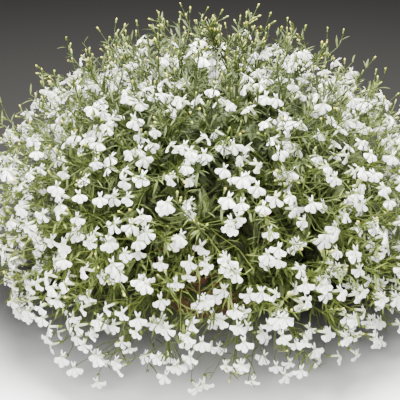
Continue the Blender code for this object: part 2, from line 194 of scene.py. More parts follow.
# Leafy side shoots without flowers.
SHOOT_SWING = 0.5
SHOOT_FORK_LAST = 0.6
SHOOT_REACH = (0.42, 1.02)  # share of the way from the crown to the dome where a shoot ends
SHOOT_LEAVES = 9
SHOOT_LEAFY = 0.7  # share of a shoot that bears leaves, back from its tip
SHOOT_LEAF_SPREAD = (0.4, 1.0)
BROAD_REACH = 0.70  # the shoots that end deeper than this have the broad low leaves
BROAD_LEAF_LENGTHS = (0.014, 0.022)
FINE_LEAF_LENGTHS = (0.008, 0.015)

# Buds, in sprigs that stand a little past the flowers.
SPRIG_BEYOND = (-0.06, 0.10)  # share of the reach by which a sprig stands past the dome
LOW_SPRIG_HOLD = 0.6  # how much of that is lost on the way down the dome
SPRIG_FORKS = (0.55, 0.9)
SPRIG_LEAVES = 7
SPRIG_LEAF_PLACES = (0.4, 0.97)
SPRIG_LEAF_LENGTHS = (0.006, 0.013)
SPRIG_BUDS = (1, 4)
BUD_FIRST = 0.98  # where on a sprig's stem its first bud forks
BUD_STEP = 0.13  # share of a sprig's stem between one bud and the next
BUD_STALKS = (0.003, 0.010)
BUD_LEAN = 0.75
BUD_KINDS = 6
BUD_SCALE = (0.70, 1.05)
BUD_LENGTH = 0.0068
BUD_RADIUS = 0.00118
BUD_SIDES = 6
BUD_SEPALS = 3
BUD_SEPAL_START = (0.0009, 0.0006)  # radius and height
BUD_SEPAL_END = (0.0016, 0.0048)
BUD_SEPAL_HALF_WIDTH = 0.0005

# The pot and its compost.
FOOT_RADIUS = 0.050
RIM_RADIUS = 0.070
WALL = 0.0018
WALL_EASE = 0.0002  # small step by which the wall rounds its edges
COLLAR_HEIGHT = 0.017
COLLAR_STEP = 0.0026
COLLAR_BEVEL = 0.0006
ROLL = 0.0012
ROLL_POINTS = 9
POT_STEPS = 96
SHARP_ANGLE = math.radians(35)
DRAIN_HOLES = 6
DRAIN_RADIUS = 0.005
DRAIN_CIRCLE = 0.034
DRAIN_STEPS = 24
COMPOST_CLEARANCE = 0.0006
COMPOST_EDGE_DROP = 0.004
COMPOST_STEPS = 72
COMPOST_RINGS = 20
COMPOST_LUMPS = 260  # lumps per metre
COMPOST_SINK = 0.0016  # depth of the hollows between them
CRUMBS = 700
CRUMB_RADII = (0.0008, 0.0026)
CRUMB_PULL = (0.6, 1.2)
CRUMB_SINK = 0.0006
CRUMB_MARGIN = 0.003
FLOOR_CLEARANCE = 0.0008

# Colours.
# Petals run at random from a dull grey to white, and the lowest flowers are pushed towards the grey as
# painted shade.
DULL_AND_SHADED_PETAL = (0.52, 0.52, 0.50, 1)
WHITE_PETAL = (0.95, 0.95, 0.915, 1)
PETAL_VEIN = (0.66, 0.69, 0.62, 1)
# Painted shade for the creases where a flower's lobes meet and fold.
PETAL_CREASE_SHADE = (0.24, 0.26, 0.21, 1)
PETAL_THROAT = (0.34, 0.40, 0.16, 1)
PETAL_GLOW = (0.88, 0.89, 0.85, 1)
FRESH_LEAF = ((0.029, 0.041, 0.0055, 1), (0.072, 0.087, 0.0110, 1))
# Painted shade: the dark green painted on leaves and stems deep inside the plant and towards its top.
PAINTED_SHADE_LEAF = ((0.016, 0.022, 0.007, 1), (0.038, 0.050, 0.014, 1))
LEAF_MIDRIB = (0.11, 0.14, 0.022, 1)
LEAF_MOTTLE = (0.045, 0.090, 0.014, 1)
LEAF_GLOW = (0.060, 0.085, 0.010, 1)
BUD_TIP = ((0.13, 0.15, 0.012, 1), (0.42, 0.36, 0.045, 1))
BUD_FOOT = (0.07, 0.10, 0.014, 1)
BUD_MOTTLE = (0.20, 0.27, 0.07, 1)
POT_BROWN = ((0.052, 0.016, 0.010, 1), (0.088, 0.029, 0.017, 1))
POT_DUST = (0.30, 0.22, 0.16, 1)
POT_SCUFF = (0.36, 0.19, 0.13, 1)
COMPOST_BROWN = ((0.018, 0.011, 0.007, 1), (0.080, 0.050, 0.031, 1))
COMPOST_SPECK = (0.26, 0.22, 0.17, 1)
FLOOR_PAINTED_SHADE = (0.0148, 0.0143, 0.0135, 1)
FLOOR_PALE_AND_PAINTED_LIGHT = (0.80, 0.80, 0.79, 1)
STUDIO_AIR = (0.82, 0.82, 0.81, 1)

# The floor and the lights.
FLOOR_SIZE = 80
FLOOR_FADE = (-0.25, 0.07)  # painted light: from the painted pool of light at the front of the floor to the painted shade under and behind the plant
FLOOR_FADE_POWER = 2.6
FLOOR_END = (0.30, 1.60)  # distance over which the painted pool of light fades too
FLOOR_END_POWER = 2.0
FLOOR_FAR = (1.70, 6.00)  # distance over which all of it turns pale again
LIGHTS_AIM = Vector((0, 0, 0.12))
LIGHTS = (  # name, size, watts and place
    ("overhead_light", 0.7, 265, Vector((0.05, -0.02, 1.45))),
    ("front_light", 0.8, 92, Vector((-0.45, -1.4, 0.85))),
)
AIR_STRENGTH = 0.35

# The photograph's view.
CAMERA_ELEVATION = 24
CAMERA_DISTANCE = 0.930
CAMERA_LENS = 85
CAMERA_AIM = Vector((-0.012, 0, 0.106))


class Value:
    """A shader socket that takes part in sums and products, as a number or as a colour."""

    def __init__(self, paint, socket):
        self.paint = paint
        self.socket = socket

    def math(self, operation, *others):
        """A Math node on this value and the others."""
        return self.paint.math(operation, self, *others)

    def __add__(self, other):
        return self.math("ADD", other)

    __radd__ = __add__

    def __mul__(self, other):
        return self.math("MULTIPLY", other)

    __rmul__ = __mul__

    def __sub__(self, other):
        return self.math("SUBTRACT", other)

    def __rsub__(self, other):
        return self.paint.math("SUBTRACT", other, self)

    def __truediv__(self, other):
        return self.math("DIVIDE", other)

    def __rtruediv__(self, other):
        return self.paint.math("DIVIDE", other, self)

    def __pow__(self, other):
        return self.math("POWER", other)

    def between(self, low, high):
        """0 below low, 1 above high, and even in between."""
        return self.paint.math("DIVIDE", self - low, high - low, clamp=True)

    def mix(self, first, second):
        """The first colour where this value is 0, and the second where it is 1."""
        node = self.paint.node("ShaderNodeMix", {"data_type": "RGBA"}, {0: self, 6: first, 7: second})
        return Value(self.paint, node.outputs[2])


class Paint:
    """One material, built on its Principled shader."""

    def __init__(self, name, **settings):
        self.material = bpy.data.materials.new(name)
        self.material.use_nodes = True
        self.tree = self.material.node_tree
        self.shader = self.tree.nodes["Principled BSDF"]
        for socket, value in settings.items():
            self.shader.inputs[socket.replace("_", " ")].default_value = value

    def node(self, kind, settings=None, inputs=None):
        """Any node, with its settings made first and then its sockets set or linked."""
        made = self.tree.nodes.new(kind)
        for name, value in (settings or {}).items():
            setattr(made, name, value)
        for key, value in (inputs or {}).items():
            if isinstance(value, Value):
                self.tree.links.new(value.socket, made.inputs[key])
            else:
                made.inputs[key].default_value = value
        return made

    def math(self, operation, *values, clamp=False):
        """A Math node on numbers or values."""
        settings = {"operation": operation, "use_clamp": clamp}
        node = self.node("ShaderNodeMath", settings, dict(enumerate(values)))
        return Value(self, node.outputs[0])

    def attribute(self, name):
        """A number stored on the mesh."""
        node = self.node("ShaderNodeAttribute", {"attribute_name": name})
        return Value(self, node.outputs["Fac"])

    def place(self):
        """The point's place on the object."""
        return Value(self, self.node("ShaderNodeTexCoord").outputs["Object"])

    def noise(self, scale, detail=3.0, roughness=0.55):
        """Noise round 0.5 at a scale of lumps per metre."""
        inputs = {"Vector": self.place(), "Scale": scale, "Detail": detail, "Roughness": roughness}
        node = self.node("ShaderNodeTexNoise", None, inputs)
        return Value(self, node.outputs[0])

    def cells(self, scale):
        """Distance to the nearest point of a scatter, at a scale of points per metre."""
        inputs = {"Vector": self.place(), "Scale": scale}
        node = self.node("ShaderNodeTexVoronoi", {"feature": "F1"}, inputs)
        return Value(self, node.outputs["Distance"])

    def feed(self, socket, value):
        """Links a value to a socket of the shader."""
        self.tree.links.new(value.socket, self.shader.inputs[socket])

    def let_light_through(self, colour, share):
        """Lets a share of the light through a thin petal or leaf, in one colour."""
        thin = self.node("ShaderNodeBsdfTranslucent", None, {"Color": colour})
        inputs = {0: share, 1: Value(self, self.shader.outputs[0]), 2: Value(self, thin.outputs[0])}
        both = self.node("ShaderNodeMixShader", None, inputs)
        end = self.tree.nodes["Material Output"]
        self.tree.links.new(both.outputs[0], end.inputs["Surface"])

    def bump(self, height, depth, strength=1.0):
        """Raises and sinks the surface by a height that runs from 0 to 1."""
        inputs = {"Height": height, "Distance": depth, "Strength": strength}
        node = self.node("ShaderNodeBump", None, inputs)
        self.feed("Normal", Value(self, node.outputs[0]))


def petal_paint():
    """White petals that let some light through, with a green-yellow throat, faint veins, and painted
    shade on the lowest flowers and in the creases between lobes.
    """
    paint = Paint("white_petals", Roughness=0.60)
    along = paint.attribute("along")
    across = paint.attribute("across")
    tint = paint.attribute("tint")
    # The tint carries painted shade: the lowest flowers get darker petals.
    body = (tint**0.6).mix(DULL_AND_SHADED_PETAL, WHITE_PETAL)
    veins = (across * 16.0).math("COSINE") * 0.5 + 0.5
    veins = veins**3.0 * along.between(0.05, 0.35) * 0.32
    body = veins.mix(body, PETAL_VEIN)
    # Painted shade: darker along the sides of each lobe up to past its middle, where the lobes meet and
    # fold.
    edge = across.math("ABSOLUTE").between(0.62, 1.0) * (1.0 - along.between(0.55, 0.90))
    body = (edge * 0.75).mix(body, PETAL_CREASE_SHADE)
    throat = 1.0 - along.between(0.03, 0.26)
    body = (throat * 0.80).mix(body, PETAL_THROAT)
    paint.feed("Base Color", body)
    paint.bump(veins + paint.noise(900.0, detail=2.0) * 0.3, depth=0.0002)
    paint.let_light_through(PETAL_GLOW, PETAL_CLARITY)
    return paint.material


def leaf_paint():
    """Leaves and stems: mid to yellow green with a paler midrib, and painted shade that darkens them deep
    in the plant and towards its top.
    """
    paint = Paint("green_foliage", Specular_IOR_Level=0.2)
    across = paint.attribute("across").math("ABSOLUTE")
    tint = paint.attribute("tint")
    depth = paint.attribute("depth")
    painted_light_tone = tint.mix(*FRESH_LEAF)
    shaded_green = tint.mix(*PAINTED_SHADE_LEAF)
    # Painted shade: the green turns to the painted shade green deep inside the plant and towards its top.
    body = depth.mix(shaded_green, painted_light_tone)
    midrib = (1.0 - across.between(0.05, 0.28)) * 0.40
    body = (midrib * depth).mix(body, LEAF_MIDRIB)
    mottle = paint.noise(220.0, detail=4.0)
    body = (mottle.between(0.40, 0.75) * 0.30 * depth).mix(body, LEAF_MOTTLE)
    paint.feed("Base Color", body)
    paint.feed("Roughness", 0.50 + mottle * 0.25)
    paint.bump(mottle + midrib, depth=0.0003, strength=0.6)
    paint.let_light_through(LEAF_GLOW, LEAF_CLARITY)
    return paint.material


def bud_paint():
    """Closed buds: green at the foot, pale yellow-green to cream at the tip."""
    paint = Paint("closed_buds", Roughness=0.5)
    along = paint.attribute("along")
    tint = paint.attribute("tint")
    body = along.between(0.45, 0.95).mix(BUD_FOOT, tint.mix(*BUD_TIP))
    mottle = paint.noise(700.0)
    paint.feed("Base Color", (mottle.between(0.45, 0.8) * 0.25).mix(body, BUD_MOTTLE))
    paint.bump(mottle, depth=0.0002, strength=0.5)
    return paint.material


def pot_paint():
    """Terracotta-brown moulded plastic with fine grain, dust near the foot and faint scuffs."""
    paint = Paint("brown_pot_plastic", Specular_IOR_Level=0.4)
    place = paint.place()
    split = paint.node("ShaderNodeSeparateXYZ", None, {0: place})
    height = Value(paint, split.outputs["Z"])
    mottle = paint.noise(38.0, detail=5.0)
    body = mottle.mix(*POT_BROWN)
    dust = (1.0 - height.between(0.0, 0.022)) * paint.noise(160.0, detail=4.0).between(0.42, 0.70)
    body = (dust * 0.55).mix(body, POT_DUST)
    scuffs = paint.noise(420.0, detail=2.0).between(0.66, 0.74)
    paint.feed("Base Color", (scuffs * 0.30).mix(body, POT_SCUFF))
    paint.feed("Roughness", 0.38 + mottle * 0.16 + dust * 0.30)
    paint.bump(paint.noise(2600.0, detail=2.0), depth=0.00012, strength=0.5)
    return paint.material


def compost_paint():
    """Dark crumbly compost with brown fibres and pale specks."""
    paint = Paint("dark_compost", Roughness=0.95, Specular_IOR_Level=0.25)
    lumps = paint.noise(300.0, detail=6.0, roughness=0.65)
    body = lumps.between(0.35, 0.70).mix(*COMPOST_BROWN)
    specks = 1.0 - paint.cells(520.0).between(0.16, 0.24)
    paint.feed("Base Color", (specks * paint.noise(90.0).between(0.5, 0.6)).mix(body, COMPOST_SPECK))
    paint.bump(lumps + (1.0 - paint.cells(380.0)) * 0.6, depth=0.0016)
    return paint.material


def dome_profile():
    """The dome's outline from its top to its skirt, as (radius, height, share of the area above)."""
    shoulder = np.linspace(0, math.pi / 2, SHOULDER_POINTS)
    skirt = np.linspace(0, 1, SKIRT_POINTS)[1:]
    drawn_in = (DOME_RADIUS - SKIRT_RADIUS) * skirt**SKIRT_CURVE
    radius = np.concatenate([DOME_RADIUS * np.sin(shoulder), DOME_RADIUS - drawn_in])
    height = np.concatenate(
        [CROWN.z + (DOME_TOP - CROWN.z) * np.cos(shoulder), CROWN.z + (SKIRT_FOOT - CROWN.z) * skirt]
    )
    band = np.hypot(np.diff(radius), np.diff(height)) * (radius[1:] + radius[:-1]) / 2
    share = np.concatenate([[0], np.cumsum(band)]) / band.sum()
    return radius, height, share


PROFILE = dome_profile()


def dome_point(share, azimuth):
    """The point of the dome below a share of its area, in the direction of an azimuth."""
    radius, height, shares = PROFILE
    r = float(np.interp(share, shares, radius))
    z = float(np.interp(share, shares, height))
    return Vector((r * math.cos(azimuth), r * math.sin(azimuth), z))


def bezier(a, b, c, d, t):
    """A point of a cubic curve."""
    s = 1 - t
    return a * s**3 + b * (3 * s * s * t) + c * (3 * s * t * t) + d * t**3


def look_out(share, azimuth, look, draw):
    """Where a flower looks: out from the plant, and more aside and to the sky the higher it sits."""
    swing, swing_aloft, aloft_share, tilt_aloft, spread = look
    aloft = max(0.0, 1 - share / aloft_share)
    turn = azimuth + draw.uniform(-1, 1) * (swing + swing_aloft * aloft)
    high = max(0.0, 1 - share / TILT_SHARE)
    return direction(turn, TILT + tilt_aloft * high + draw.uniform(*spread))


def direction(turn, degrees_up):
    """A unit vector from its azimuth and its height above the horizon."""
    tilt = math.radians(degrees_up)
    return Vector((math.cos(turn) * math.cos(tilt), math.sin(turn) * math.cos(tilt), math.sin(tilt)))


class Route:
    """A smooth curve that grows from what bears it."""

    def at(self, t):
        """A point of the smooth curve."""
        return bezier(*self.controls, t)

    def heading(self, t):
        """The direction of the smooth curve."""
        return (self.at(t + HEADING_STEP) - self.at(t - HEADING_STEP)).normalized()


class Stem(Route):
    """One stem's route, from its root in the compost to where it ends inside the dome."""

    knots = (0.0, 0.16, 0.32, 0.52, 0.75, 1.0)  # where the solid's straight stretches meet

    def __init__(self, number):
        share = (number + 0.5) / STEMS
        azimuth = number * GOLDEN_ANGLE
        outward = Vector((math.cos(azimuth), math.sin(azimuth), 0))
        root = outward * (ROOT_CIRCLE * math.sqrt(share))
        root.z = SOIL_TOP - ROOT_DEPTH
        self.target = dome_point(share, azimuth)
        end = CROWN.lerp(self.target, STEM_REACH)
        rise = UP * (STEM_RISE + STEM_RISE_TRAILING * share)
        first = root + rise + outward * (STEM_LEAN_TRAILING * share)
        second = root.lerp(end, STEM_ARCH_AT) + UP * (STEM_ARCH_TRAILING * share)
        self.controls = (root, first, second, end)
        self.twigs = []

    def middle(self, t):
        """The point on the straight stretches of the solid, where a twig is rooted."""
        after = next((k for k, knot in enumerate(self.knots) if k and knot >= t), len(self.knots) - 1)
        low, high = self.knots[after - 1], self.knots[after]
        return self.at(low).lerp(self.at(high), (t - low) / (high - low))


class Twig(Route):
    """One twig's route, from its fork on a stem to its first flower on the dome."""

    def __init__(self, number, draw):
        share = (number + 0.5) / TWIGS
        azimuth = number * GOLDEN_ANGLE + TWIG_TURN
        self.flower = CROWN.lerp(dome_point(share, azimuth), 1 - DEPTH_SPREAD * draw.random() ** 2)
        self.facing = look_out(share, azimuth, SOLID_LOOK, draw)
        draw.random()  # the roll of the solid's flower, drawn to stay in step with the frame

    def join(self, stem, draw):
        """Chooses the fork, and the curve from there to the back of the flower."""
        ahead = (stem.target - CROWN).angle(self.flower - CROWN)
        back = FORK_PER_RADIAN * ahead + draw.uniform(0, FORK_SPREAD)
        fork_at = max(FORK_FIRST, FORK_LAST - back)
        fork = stem.middle(fork_at)
        tail = self.flower - self.facing * SOLID_TUBE_LENGTH
        span = (tail - fork).length
        away = self.facing * TWIG_FACING_WEIGHT + (self.flower - CROWN).normalized()
        pull = fork + stem.heading(fork_at) * (TWIG_PULL * span)
        self.controls = (fork, pull, tail - away * (TWIG_PUSH * span), tail)
        stem.twigs.append(self)


def grow():
    """All stems with their twigs: each twig joins the stem that aims nearest to its flower."""
    draw = random.Random(SEED)
    stems = [Stem(number) for number in range(STEMS)]
    for number in range(TWIGS):
        twig = Twig(number, draw)
        nearest = min(stems, key=lambda stem: (stem.target - twig.flower).length)
        twig.join(nearest, draw)
    return stems


class Stalk(Route):
    """A thin curve from a twig or a sprig's stem to what stands at its tip."""

    def __init__(self, bearer, tip, way, fork_at):
        fork = bearer.at(fork_at)
        span = (tip - fork).length
        pull = fork + bearer.heading(fork_at) * (STALK_PULL * span)
        self.controls = (fork, pull, tip - way * (STALK_PUSH * span), tip)


def fork_before(twig, tip, draw):
    """Where a stalk leaves its twig: the further aside it ends, the further back."""
    aside = (twig.flower - tip).length
    back = aside * FORK_PER_METRE + draw.uniform(*STALK_FORK_SPREAD)
    first, last = STALK_FORKS
    return min(last, max(first, 1.0 - back))


def grid_faces(rows, columns, closed=False):
    """The quads of a grid of points; a closed one joins its last column to its first."""
    across = columns if closed else columns - 1
    i, j = np.meshgrid(np.arange(rows - 1), np.arange(across), indexing="ij")
    after = (j + 1) % columns
    corners = (i * columns + j, i * columns + after, (i + 1) * columns + after, (i + 1) * columns + j)
    return np.stack([c.ravel() for c in corners], axis=1)


class Form:
    """A small shape made of quads, with how far each corner is along and across it."""

    def __init__(self, points, faces, along, across):
        self.points = points
        self.faces = faces
        self.along = along
        self.across = across

    def joined(self, *others):
        """This form and others as one."""
        forms = (self, *others)
        starts = np.cumsum([0] + [len(f.points) for f in forms[:-1]])
        return Form(
            np.concatenate([f.points for f in forms]),
            np.concatenate([f.faces + s for f, s in zip(forms, starts)]),
            np.concatenate([f.along for f in forms]),
            np.concatenate([f.across for f in forms]),
        )


def blade(rows, columns, shape):
    """A thin curved sheet from a function of u, base to tip, and v, side to side."""
    u, v = np.meshgrid(np.linspace(0, 1, rows), np.linspace(-1, 1, columns), indexing="ij")
    points = np.stack(np.broadcast_arrays(*shape(u, v)), axis=-1).reshape(-1, 3)
    return Form(points, grid_faces(rows, columns), u.ravel(), v.ravel())


def turned_form(profile, sides):
    """A round shape about Z from (radius, height, along) rows."""
    turns = np.arange(sides) * math.tau / sides
    rows = np.array(profile)
    x = rows[:, :1] * np.cos(turns)
    y = rows[:, :1] * np.sin(turns)
    z = rows[:, 1:2] + 0 * turns
    along = (rows[:, 2:3] + 0 * turns).ravel()
    points = np.stack([x, y, z], axis=-1).reshape(-1, 3)
    return Form(points, grid_faces(len(rows), sides, closed=True), along, np.zeros(len(points)))


def lip_lobe(angle, draw):
    """One broad rounded lobe of the lower lip, pointing down at 0 degrees."""
    length = LOBE_LENGTH * (1 if angle else MIDDLE_LOBE) * draw.uniform(0.93, 1.05)
    width = LOBE_HALF_WIDTH * draw.uniform(0.93, 1.06)
    curl = draw.uniform(0.0, 0.28)
    cup = draw.uniform(0.15, 0.50)
    wave = draw.uniform(-0.12, 0.12)
    ruffle = draw.uniform(0.02, 0.06)
    shift = draw.uniform(0, math.tau)
    turn = math.radians(angle + draw.uniform(-3, 3))
    down = np.array([math.sin(turn), -math.cos(turn)])
    side = np.array([math.cos(turn), math.sin(turn)])

    def shape(u, v):
        rounded = (np.maximum(0, u - LOBE_ROUND_FROM) / (1 - LOBE_ROUND_FROM)) ** 2
        spread = LOBE_WAIST + LOBE_WIDENING * u - LOBE_ROUNDING * rounded
        # The tip is cut back at its corners, with a small point and a ripple.
        edge = 1 - 0.07 * v**2 - 0.16 * np.abs(v) ** 5 + 0.03 * np.exp(-((v / 0.20) ** 2))
        edge = edge + 0.02 * np.sin(5 * v + shift)
        out = LOBE_START + length * u * (1 - u * (1 - edge))
        off = width * v * spread
        # It lifts off the face of the flower in an arch, with a crease down its middle.
        arch = 0.16 * np.sin(math.pi * u * 0.8) - curl * u**2
        crease = 0.05 * np.exp(-((v / 0.25) ** 2)) * u * (1 - u)
        ruffles = ruffle * np.sin(6.5 * v + shift) * u**2
        lift = length * (arch + crease + ruffles) + width * v * u * (wave - cup * v)
        return down[0] * out + side[0] * off, down[1] * out + side[1] * off, lift

    return blade(5, 7, shape)


def ear_lobe(angle, draw):
    """One narrow upright lobe, bent a little back."""
    length = EAR_LENGTH * draw.uniform(0.85, 1.10)
    bend = draw.uniform(0.05, 0.40)
    turn = math.radians(angle + draw.uniform(-7, 7))

    def shape(u, v):
        off = EAR_HALF_WIDTH * v * np.sin(math.pi * (0.16 + 0.80 * u)) ** 0.8
        out = LOBE_START + length * u
        lift = length * (0.10 * u - bend * u**2) - 0.3 * EAR_HALF_WIDTH * v**2
        x = -math.sin(turn) * out + math.cos(turn) * off
        y = math.cos(turn) * out + math.sin(turn) * off
        return x, y, lift

    return blade(4, 3, shape)


def flower_form(draw):
    """A whole flower that looks along +Z: three lip lobes, two ears, throat and tube."""
    tube = turned_form(
        (
            (THROAT_RADIUS * 1.25, 0.0007, 0.10),
            (THROAT_RADIUS, -0.0010, 0.02),
            (THROAT_RADIUS * 0.85, -TUBE_LENGTH * 0.60, 0.08),
            (THROAT_RADIUS * 0.60, -TUBE_LENGTH, 0.0),
        ),
        TUBE_SIDES,
    )
    lobes = [lip_lobe(angle, draw) for angle in (0, SIDE_LOBE_ANGLE, -SIDE_LOBE_ANGLE)]
    ears = [ear_lobe(angle, draw) for angle in (EAR_ANGLE, -EAR_ANGLE)]
    return tube.joined(*lobes, *ears)


def sepal(turn, start, end, half_width, rows):
    """A narrow pointed sepal from one (radius, height) to another, at a turn about Z."""

    def shape(u, v):
        off = half_width * v * (1 - SEPAL_TAPER * u)
        out = start[0] + (end[0] - start[0]) * u
        x = math.cos(turn) * out - math.sin(turn) * off
        y = math.sin(turn) * out + math.cos(turn) * off
        return x, y, start[1] + (end[1] - start[1]) * u

    return blade(rows, 2, shape)


def calyx_form(draw):
    """The green sepals that hold a flower's tube, with the swelling below them."""
    swelling = turned_form(
        (
            (0.0004, -TUBE_LENGTH - 0.0022, 0.2),
            (0.0013, -TUBE_LENGTH - 0.0010, 0.3),
            (0.0014, -TUBE_LENGTH + 0.0004, 0.4),
            (0.0008, -TUBE_LENGTH + 0.0016, 0.5),
        ),
        TUBE_SIDES,
    )
    sepals = []
    for k in range(SEPALS):
        turn = math.tau * (k + draw.uniform(-SEPAL_JITTER, SEPAL_JITTER)) / SEPALS
        flare = draw.uniform(*SEPAL_FLARE)
        end = (SEPAL_START + SEPAL_LENGTH * flare, SEPAL_LENGTH - TUBE_LENGTH)
        sepals.append(sepal(turn, (SEPAL_START, -TUBE_LENGTH), end, SEPAL_HALF_WIDTH, 2))
    return swelling.joined(*sepals)


def leaf_form(draw, slimness, rows, columns=3):
    """A leaf along +Y that arches down, with a few teeth and a folded midrib; unit length."""
    droop = draw.uniform(0.02, 0.30)
    twist = draw.uniform(-0.5, 0.5)
    teeth = draw.choice((2, 3))

    def shape(u, v):
        body = np.sin(math.pi * (0.06 + 0.90 * u) ** 0.85)
        saw = np.maximum(0, np.sin(math.tau * teeth * u)) * (u > LEAF_TEETH_FROM)
        tooth = LEAF_TOOTH * np.abs(v) * saw
        off = v * (body + tooth) * slimness
        lift = -droop * u**2 + LEAF_FOLD * np.abs(off)
        turn = twist * u
        return off * np.cos(turn), u + 0 * v, lift + off * np.sin(turn)

    return blade(rows, columns, shape)


def bud_form(draw):
    """A club-shaped bud along +Z whose foot is at the origin."""
    fat = BUD_RADIUS * draw.uniform(0.8, 1.1)
    rows = (
        (0.0004, 0.0, 0.0),
        (0.0010, 0.0008, 0.08),
        (0.0009, 0.0018, 0.2),
        (fat * 0.55, BUD_LENGTH * 0.40, 0.4),
        (fat * 0.95, BUD_LENGTH * 0.66, 0.66),
        (fat, BUD_LENGTH * 0.80, 0.8),
        (fat * 0.62, BUD_LENGTH * 0.94, 0.94),
        (0.0002, BUD_LENGTH, 1.0),
    )
    return turned_form(rows, BUD_SIDES)


def bud_sepals(draw):
    """The thin green sepals round a bud."""
    sepals = []
    for k in range(BUD_SEPALS):
        turn = math.tau * (k + draw.uniform(-SEPAL_JITTER, SEPAL_JITTER)) / BUD_SEPALS
        sepals.append(sepal(turn, BUD_SEPAL_START, BUD_SEPAL_END, BUD_SEPAL_HALF_WIDTH, 3))
    return sepals[0].joined(*sepals[1:])


def tube_form(route, foot_radius, tip_radius, sides, steps):
    """A tapered round tube along a route, with twist-free cross directions."""
    ts = np.linspace(0, 1, steps)
    centres = np.array([route.at(t) for t in ts])
    ways = np.gradient(centres, axis=0)
    ways /= np.linalg.norm(ways, axis=1)[:, None]
    side = np.array(Vector(ways[0]).orthogonal().normalized())
    turns = np.arange(sides) * math.tau / sides
    rings = []
    for centre, way, t in zip(centres, ways, ts):
        side = side - way * side.dot(way)
        side /= np.linalg.norm(side)
        other = np.cross(way, side)
        radius = foot_radius + (tip_radius - foot_radius) * t
        rings.append(centre + radius * (np.outer(np.cos(turns), side) + np.outer(np.sin(turns), other)))
    points = np.concatenate(rings)
    along = np.repeat(ts, sides)
    return Form(points, grid_faces(steps, sides, closed=True), along, np.full(len(points), 0.5))


def placement(x, y, z, origin, scale):
    """The scaled turn and the origin that take a form to its place, from its three directions."""
    return np.array([x, y, z]).T * scale, np.array(origin)


def mesh_of(name, points, faces):
    """A mesh from its corners and faces."""
    mesh = bpy.data.meshes.new(name)
    mesh.from_pydata(points, [], faces)
    return mesh


def add_object(name, data):
    """A new object in the scene."""
    made = bpy.data.objects.new(name, data)
    bpy.context.scene.collection.objects.link(made)
    return made


def add_piece(name, mesh, paint, node=None):
    """A piece of the visual model, which may stand for a node of the frame."""
    mesh.materials.append(paint)
    piece = add_object(name, mesh)
    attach(piece, "root")
    if node:
        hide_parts(node)
    return piece


class Cluster:
    """Gathers many forms into one piece."""

    def __init__(self):
        self.forms = []
        self.count = 0

    def add(self, form, tint, place=None, depth=1.0):
        """Adds a form, moved to its place, with its own tint and its depth in the plant, which sets the
        painted shade of green parts.
        """
        points = form.points if place is None else form.points @ place[0].T + place[1]
        sunk = FLOOR_CLEARANCE - points[:, 2].min()
        if sunk > 0:
            points = points + (0, 0, sunk)
        tints = np.full(len(points), tint)
        depths = np.full(len(points), depth)
        self.forms.append((points, form.faces + self.count, form.along, form.across, tints, depths))
        self.count += len(points)

    def mesh(self, name):
        """One smooth mesh of all that was added."""
        points, faces, *values = (np.concatenate(rows) for rows in zip(*self.forms))
        mesh = mesh_of(name, points.tolist(), faces.tolist())
        for key, row in zip(("along", "across", "tint", "depth"), values):
            layer = mesh.attributes.new(key, "FLOAT", "POINT")
            layer.data.foreach_set("value", row.astype(np.float32))
        mesh.shade_smooth()
        return mesh


def ramp(value, start, rise):
    """0 up to a start, 1 from a rise above it, and even in between."""
    return max(0.0, min(1.0, (value - start) / rise))


def depth_of(point):
    """How far a green part is out of the painted shade: 0 deep inside the plant, 1 out at the dome, and
    less again towards the plant's top.
    """
    reach = (point - CROWN).length / DOME_RADIUS
    high = ramp(point.z, HIGH_FROM, HIGH_RISE)
    return ramp(reach, FRESH_FROM, FRESH_RISE) * (1 - HIGH_SHADE * high)


def aside_from(along, draw):
    """A direction square to another, at any turn round it."""
    return Matrix.Rotation(draw.uniform(0, math.tau), 3, along) @ along.orthogonal().normalized()


def place_leaf(cluster, kinds, route, t, length, draw):
    """Sets one leaf on a route, spreading forwards from it."""
    along = route.heading(t)
    around = aside_from(along, draw)
    way = (along * draw.uniform(*LEAF_FORWARD) + around + UP * LEAF_LIFT).normalized()
    side = way.cross(UP + around * LEAF_ROLL).normalized()
    above = side.cross(way)
    base = route.at(t)
    place = placement(side, way, above, base, length)
    cluster.add(draw.choice(kinds), draw.random(), place, depth_of(base))


class Spray:
    """What one leafy stem bears, gathered into its green, white and bud pieces."""

    def __init__(self, stem, node):
        self.stem = stem
        self.node = node
        self.green = Cluster()
        self.white = Cluster()
        self.budding = Cluster()

    def add_tube(self, route, tube, depth, draw):
        """A green stem, twig or stalk along a route."""
        self.green.add(tube_form(route, *tube), draw.random(), depth=depth)


def billow(share, azimuth):
    """How far the dome swells or sinks at a place, as a share of its reach."""
    swell = sum(math.sin(turns * azimuth + falls * share + shift) for turns, falls, shift in BILLOW_WAVES)
    return 1 + BILLOW * (swell - BILLOW_SINK)


def spiral(number, count, spacing, lowest, turn):
    """The share and the azimuth of one point of an even spiral over the dome."""
    return lowest * ((number + 0.5) / count) ** spacing, number * GOLDEN_ANGLE + turn


def scattered(share, azimuth, draw):
    """A point of the dome a little aside from a spiral's, with its own share and azimuth."""
    point = dome_point(share, azimuth)
    flat = max(AXIS_RADIUS, math.hypot(point.x, point.y))
    azimuth = azimuth + draw.gauss(0, SCATTER) / flat
    share = min(1.0, max(0.0, share + draw.gauss(0, SCATTER) * SHARE_PER_METRE))
    return dome_point(share, azimuth), share, azimuth


class Bearers:
    """The twigs, to find the one that bears what stands at a point of the dome."""

    def __init__(self, sprays):
        self.pairs = [(twig, spray) for spray in sprays for twig in spray.stem.twigs]
        self.flowers = np.array([twig.flower for twig, _ in self.pairs])

    def nearest(self, point):
        """The twig whose own flower is nearest, and its spray."""
        away = ((self.flowers - np.array(point)) ** 2).sum(axis=1)
        return self.pairs[int(np.argmin(away))]


